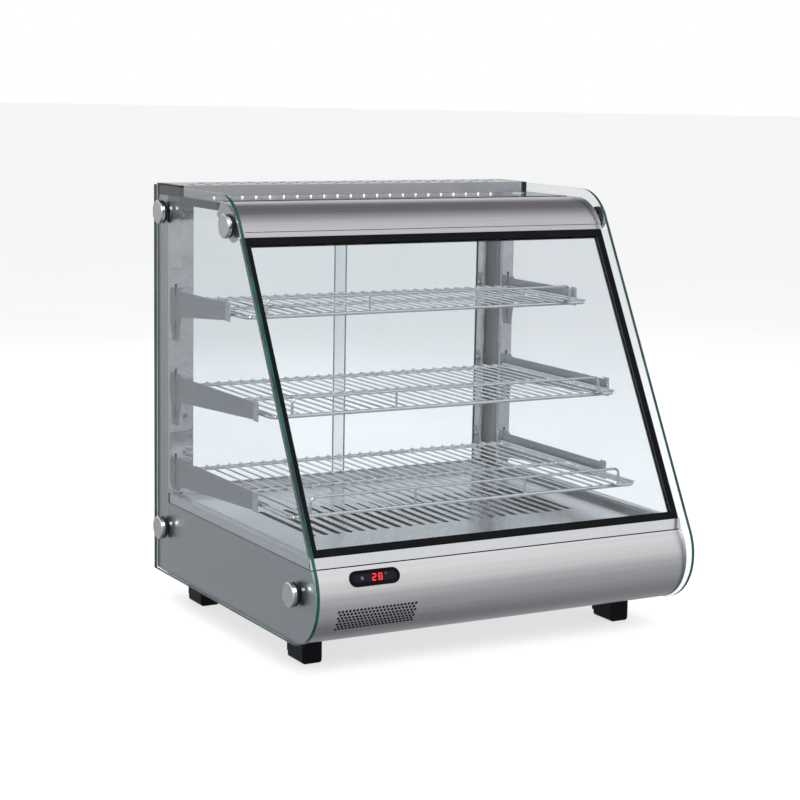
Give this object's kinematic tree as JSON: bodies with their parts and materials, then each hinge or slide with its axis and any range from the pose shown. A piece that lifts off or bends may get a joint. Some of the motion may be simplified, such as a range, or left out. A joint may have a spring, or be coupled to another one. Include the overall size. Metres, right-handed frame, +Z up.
{
  "type": "hot food display case",
  "caption": "Countertop hot food display case with sloped front glass, glass sides on round knobs, wire shelves on hooked brackets and sliding rear doors.",
  "frame": {"origin": "on the counter, under the middle of the case's bounding box", "axes": "+X to the right seen from the customer's side, +Y from the customer's side to the operator's side, +Z up"},
  "size_m": [0.672, 0.5829, 0.6716],
  "materials": {
    "panel_steel": "fine horizontal brushing, bright satin",
    "side_steel": "satin stainless, reads darker behind the glass",
    "knob_steel": "turned face with polished side",
    "polished_steel": "mirror polished stainless",
    "shelf_wire": "bright plated wire",
    "bracket_steel": "dull grey steel",
    "tray_steel": "bright stainless pan",
    "heater_steel": "heat-tinted tube",
    "black_rubber": "black rubber",
    "black_plastic": "black moulded plastic",
    "display_black": "glossy black window with red digits",
    "rocker_red": "red translucent rocker",
    "pane_glass": "clear float glass with green edges",
    "door_glass": "clear pane with teal edges",
    "lamp_lens": "white strip with small light points"
  },
  "bodies": {
    "root": {"base_pan": "side_steel", "base_side_left": "side_steel", "base_side_right": "side_steel", "box_end_cap_left": "black_plastic", "box_end_cap_right": "black_plastic", "bracket_strip_left": "polished_steel", "bracket_strip_right": "polished_steel", "controller": "display_black", "cord_gland": "black_plastic", "deck_cover": "panel_steel", "door_track_bottom": "polished_steel", "door_track_top": "polished_steel", "fan_housing": "black_plastic", "foot_front_left": "black_rubber", "foot_front_right": "black_rubber", "foot_rear_left": "black_rubber", "foot_rear_right": "black_rubber", "front_glass": "pane_glass", "front_glass_gasket": "black_rubber", "front_panel": "panel_steel", "glass_knob_lower_front_left": "knob_steel", "glass_knob_lower_front_right": "knob_steel", "glass_knob_lower_rear_left": "knob_steel", "glass_knob_lower_rear_right": "knob_steel", "glass_knob_upper_front_left": "knob_steel", "glass_knob_upper_front_right": "knob_steel", "glass_knob_upper_rear_left": "knob_steel", "glass_knob_upper_rear_right": "knob_steel", "heater_element": "heater_steel", "light_bar": "lamp_lens", "rear_base_panel": "panel_steel", "rear_post_left": "side_steel", "rear_post_right": "side_steel", "rear_top_box": "panel_steel", "roof_front_trim": "black_plastic", "roof_glass": "pane_glass", "roof_side_trim_left": "black_plastic", "roof_side_trim_right": "black_plastic", "shelf_bracket_bottom_left": "bracket_steel", "shelf_bracket_bottom_right": "bracket_steel", "shelf_bracket_middle_left": "bracket_steel", "shelf_bracket_middle_right": "bracket_steel", "shelf_bracket_top_left": "bracket_steel", "shelf_bracket_top_right": "bracket_steel", "side_glass_left": "pane_glass", "side_glass_right": "pane_glass", "switch_housing": "black_plastic", "visor": "panel_steel", "visor_end_left": "panel_steel", "visor_end_right": "panel_steel"},
    "door_left": {"rear_door_left": "door_glass", "door_pull_left": "polished_steel"},
    "door_right": {"rear_door_right": "door_glass", "door_pull_right": "polished_steel"},
    "shelf_top_body": {"shelf_top": "shelf_wire"},
    "shelf_middle_body": {"shelf_middle": "shelf_wire"},
    "shelf_bottom_body": {"shelf_bottom": "shelf_wire"},
    "fan": {"fan_impeller": "black_plastic"},
    "tray": {"water_tray": "tray_steel"},
    "rocker": {"switch_rocker": "rocker_red"}
  },
  "joints": [
    {"name": "door_left_slide", "type": "slide", "parent": "root", "child": "door_left", "axis": [1, 0, 0], "range_m": [0, 0.278]},
    {"name": "door_right_slide", "type": "slide", "parent": "root", "child": "door_right", "axis": [1, 0, 0], "range_m": [-0.278, 0]},
    {"name": "shelf_top_lift", "type": "slide", "parent": "root", "child": "shelf_top_body", "axis": [0, 0, 1], "range_m": [0, 0.04]},
    {"name": "shelf_middle_lift", "type": "slide", "parent": "root", "child": "shelf_middle_body", "axis": [0, 0, 1], "range_m": [0, 0.04]},
    {"name": "shelf_bottom_lift", "type": "slide", "parent": "root", "child": "shelf_bottom_body", "axis": [0, 0, 1], "range_m": [0, 0.04]},
    {"name": "tray_slide", "type": "slide", "parent": "root", "child": "tray", "axis": [0, 1, 0], "range_m": [0, 0.25]},
    {"name": "fan_spin", "type": "hinge", "parent": "root", "child": "fan", "pos_m": [-0.13, 0, 0.1165], "axis": [0, 0, 1], "continuous": true},
    {"name": "rocker_tilt", "type": "hinge", "parent": "root", "child": "rocker", "pos_m": [-0.25, 0.2778, 0.113], "axis": [1, 0, 0], "range_deg": [0, 16]}
  ]
}
